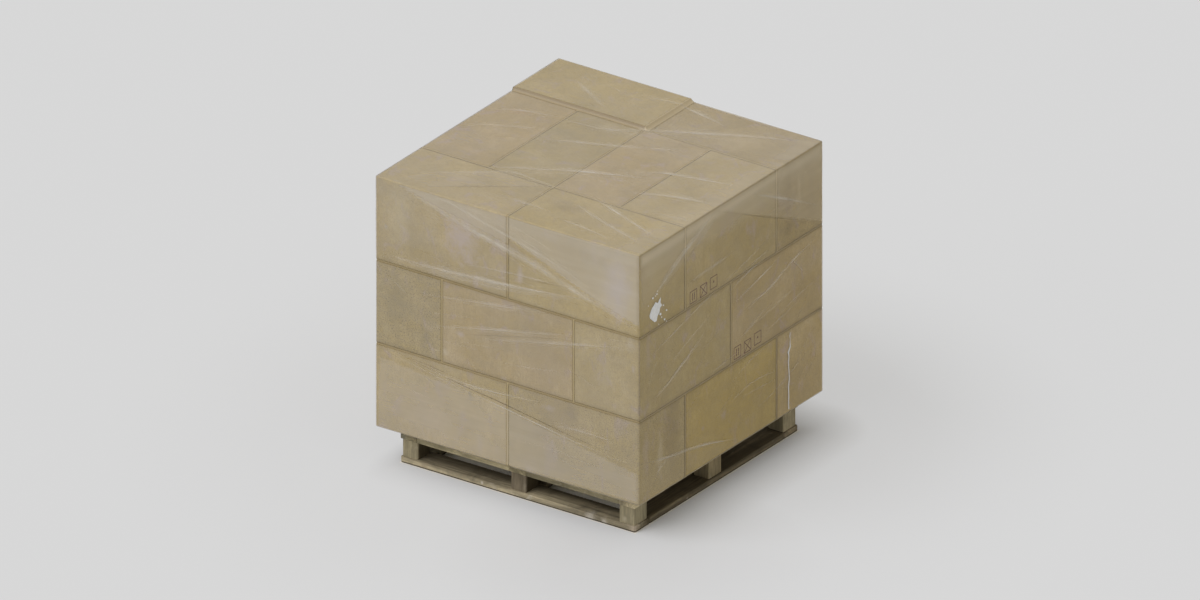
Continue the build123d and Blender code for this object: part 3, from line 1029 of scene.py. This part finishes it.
def bar(a, b, width):
    """A straight stroke from a to b, as a ring of corners with its middle."""
    a, b = np.array(a, float), np.array(b, float)
    along = (b - a) / np.linalg.norm(b - a)
    side = np.array([-along[1], along[0]]) * width / 2
    ring = [a - side, b - side, b + side, a + side]
    return ((a + b) / 2, ring)


def plain_mark(kind, corner, side, line):
    """A plain handling mark: a square outline around bars, crossed lines or a dot."""
    u, v = corner
    w, h = side * 0.92, side
    ends = [(0, 0, 1, 0, line), (1, 0, 1, 1, line), (1, 1, 0, 1, line), (0, 1, 0, 0, line)]
    ends += {
        "bars": [(share, 0.18, share, 0.82, line * 1.3) for share in (0.36, 0.64)],
        "cross": [(0.04, 0.04, 0.96, 0.96, line), (0.04, 0.96, 0.96, 0.04, line)],
        "dot": [(0.4, 0.55, 0.6, 0.55, 0.16 * h)],
    }[kind]
    return [bar((u + a * w, v + b * h), (u + c * w, v + d * h), thick) for a, b, c, d, thick in ends]


def print_marks():
    n = Nodes("printing_ink")
    ink = n.ramp(n.noise(n.place, 160, 4, 0.7), (0.35, rgb(112, 54, 24)), (0.6, rgb(80, 36, 14)))
    strokes = []
    for pixel in ((690, 300), (734, 357)):
        u, v = from_photo("right", *pixel)
        level = BOTTOM + (2 if v > BOTTOM + 2 * LAYER else 1) * LAYER + 12 * MM
        for i, kind in enumerate(("bars", "cross", "dot")):
            strokes += plain_mark(kind, (u + i * 62 * MM, level + (i == 2) * 6 * MM), 45 * MM, 3.5 * MM)
    patch("carton_marks", "right", strokes, INK_LIFT, n.surface(ink, 0.8))


def spill_paint():
    """A white splash and a long white run, dried on the film."""
    n = Nodes("dried_white")
    tone = n.ramp(n.noise(n.place, 90, 4, 0.6), (0.3, rgb(214, 214, 210)), (0.7, rgb(232, 232, 230)))
    white = n.surface(tone, 0.5, (n.noise(n.place, 220, 3), 0.4, 0.001))
    draw = random.Random(3)
    splash = (
        655, 302, 657.5, 303, 658.5, 300, 660.5, 297, 660, 302, 661.5, 305, 659.5, 308, 659, 312, 657, 316,
        656, 321, 654, 322, 651.5, 320, 649.5, 318.5, 649, 315.5, 650.5, 311, 651.5, 308, 653, 306,
    )
    shapes = [(from_photo("right", 654.5, 312), row_from_photo("right", *splash)[::-1])]
    specks = [
        (652.5, 298, 1), (656.5, 294, 0.7), (657, 291, 0.5), (663, 305, 0.6), (666, 310, 0.8), (660, 314, 1),
        (664, 319, 0.8), (666, 321, 0.6), (661, 317, 0.6), (658, 324, 0.4), (655, 296, 0.5), (648, 306, 0.4),
    ]
    for x, y, r in specks:
        ring = []
        for k in range(9):
            a = -k / 9 * 2 * math.pi
            reach = r * draw.uniform(0.6, 1.25)
            ring.append(from_photo("right", x + reach * math.cos(a), y - 1.3 * reach * math.sin(a)))
        shapes.append((from_photo("right", x, y), ring))
    patch("white_splash", "right", shapes, SPILL_LIFT, white)
    run = [
        (789.6, 332, 0.35), (789.2, 336, 0.7), (789.6, 339, 0.25), (789.4, 342, 0.6), (789.6, 346, 0.9),
        (788.8, 349, 1.2), (787.8, 352, 1.4), (788.4, 356, 0.8), (788, 362, 0.8), (788.3, 370, 0.7),
        (788.8, 378, 0.7), (788, 386, 0.9), (788.2, 396, 0.85), (788, 403, 0.8), (788.2, 409, 0.9),
    ]
    quads = []
    for (xa, ya, ra), (xb, yb, rb) in zip(run, run[1:]):
        ra, rb = 0.52 * ra, 0.52 * rb
        ring = row_from_photo("right", xa - ra, ya, xb - rb, yb, xb + rb, yb, xa + ra, ya)
        middle = from_photo("right", (xa + xb) / 2, (ya + yb) / 2)
        quads.append((middle, ring))
    patch("white_run", "right", quads, SPILL_LIFT, white)


# Floor, light and camera

FLOOR_REACH = 14.0  # metres, out of sight on all sides
FLOOR_OWN = 0.34  # the share of the floor's paleness that light and shadow change, seen by the camera
CONTACT = 0.25  # metres outside the pallet over which the floor's own light takes over


def make_floor():
    corners = [(x * FLOOR_REACH, y * FLOOR_REACH, 0) for x, y in ((-1, -1), (1, -1), (1, 1), (-1, 1))]
    floor = mesh_object("floor", corners, [(0, 1, 2, 3)], smooth=False)
    n = Nodes("floor_paint")
    shade = n.ramp(n.noise(n.place, 1.5, 2), (0.3, rgb(214, 214, 214)), (0.7, rgb(216, 216, 216)))
    glow = n.add("ShaderNodeEmission", {"Color": rgb(216, 216, 216), "Strength": 1.0})
    half_x, half_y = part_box("base_board_front")[1][0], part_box("base_board_back")[1][1]
    # Seen directly, part of the floor is a glow, painted light that lightens its shadow: none beside the
    # pallet, sooner on its -X and -Y sides, less near its front right corner, and more far off.
    beyond = []
    for axis, half, lit_side in ((0, half_x, 2.6), (1, half_y, 1.35)):
        part = n.part(n.place, axis)
        after = n.math("SUBTRACT", part, half)
        before = n.math("MULTIPLY", n.math("ADD", part, half), -lit_side)
        beyond.append(n.math("MAXIMUM", n.math("MAXIMUM", after, before), 0.0))
    squares = n.math("ADD", *[n.math("MULTIPLY", part, part) for part in beyond])
    away = n.math("DIVIDE", n.math("SQRT", squares), CONTACT, clamp=True)
    # painted light: the floor under the pallet paler and warmer
    shade = n.mix(n.ramp(away, (0, 1), (0.03, 0)), shade, rgb(240, 234, 220))
    lit = n.add("ShaderNodeBsdfDiffuse", {"Color": shade, "Roughness": 0.5})
    near_corner = n.length(n.vector("SUBTRACT", n.place, (0.62, -0.72, 0)))
    near_corner = n.ramp(near_corner, (0.2, 0.9), (0.7, 0))
    away = n.math("MULTIPLY", away, n.math("SUBTRACT", 1.0, near_corner))
    far = n.math("DIVIDE", n.length(n.place), 4.0)
    far = n.ramp(far, (0.29, 0), (0.44, 0.7 * FLOOR_OWN))
    rays = n.add("ShaderNodeLightPath").outputs
    direct = [rays[f"Is {kind} Ray"] for kind in ("Camera", "Glossy", "Transmission")]
    direct = reduce(lambda a, b: n.math("MAXIMUM", a, b), direct)
    share = n.math("ADD", n.math("MULTIPLY", away, 1 - FLOOR_OWN), far)
    share = n.math("MULTIPLY", direct, share)
    shader = n.add("ShaderNodeMixShader", {0: share, 1: lit.outputs[0], 2: glow.outputs[0]})
    set_material(floor, n.finish(shader))


def light_scene():
    """A wide sun at the front left, and pale light from all around."""
    lamp = bpy.data.lights.new("key", "SUN")
    lamp.energy = 1.5
    lamp.angle = math.radians(46)
    lamp.color = (1, 1.02, 1.09)
    new_object("key", lamp, direction(-28, 44))
    world = bpy.data.worlds.new("studio")
    SCENE.world = world
    world.use_nodes = True
    colour, strength = world.node_tree.nodes["Background"].inputs[:2]
    colour.default_value = (1, 0.985, 0.945, 1)
    strength.default_value = 0.62


def make_camera():
    data = bpy.data.cameras.new("camera")
    data.type = "ORTHO"
    data.ortho_scale = PHOTO_WIDE * METRES_PER_PIXEL
    data.clip_end = 60
    camera = new_object("camera", data, BACK)
    aside = (PHOTO_WIDE / 2 - PHOTO_ORIGIN_X) * METRES_PER_PIXEL
    above = (PHOTO_ORIGIN_Y - PHOTO_HIGH / 2) * METRES_PER_PIXEL
    camera.location = RIGHT * aside + UP * above + BACK * CAMERA_DISTANCE
    SCENE.camera = camera
    SCENE.view_settings.view_transform = "Standard"


dress_cartons()
dress_pallet()
wrap_film()
print_marks()
spill_paint()
make_floor()
light_scene()
make_camera()
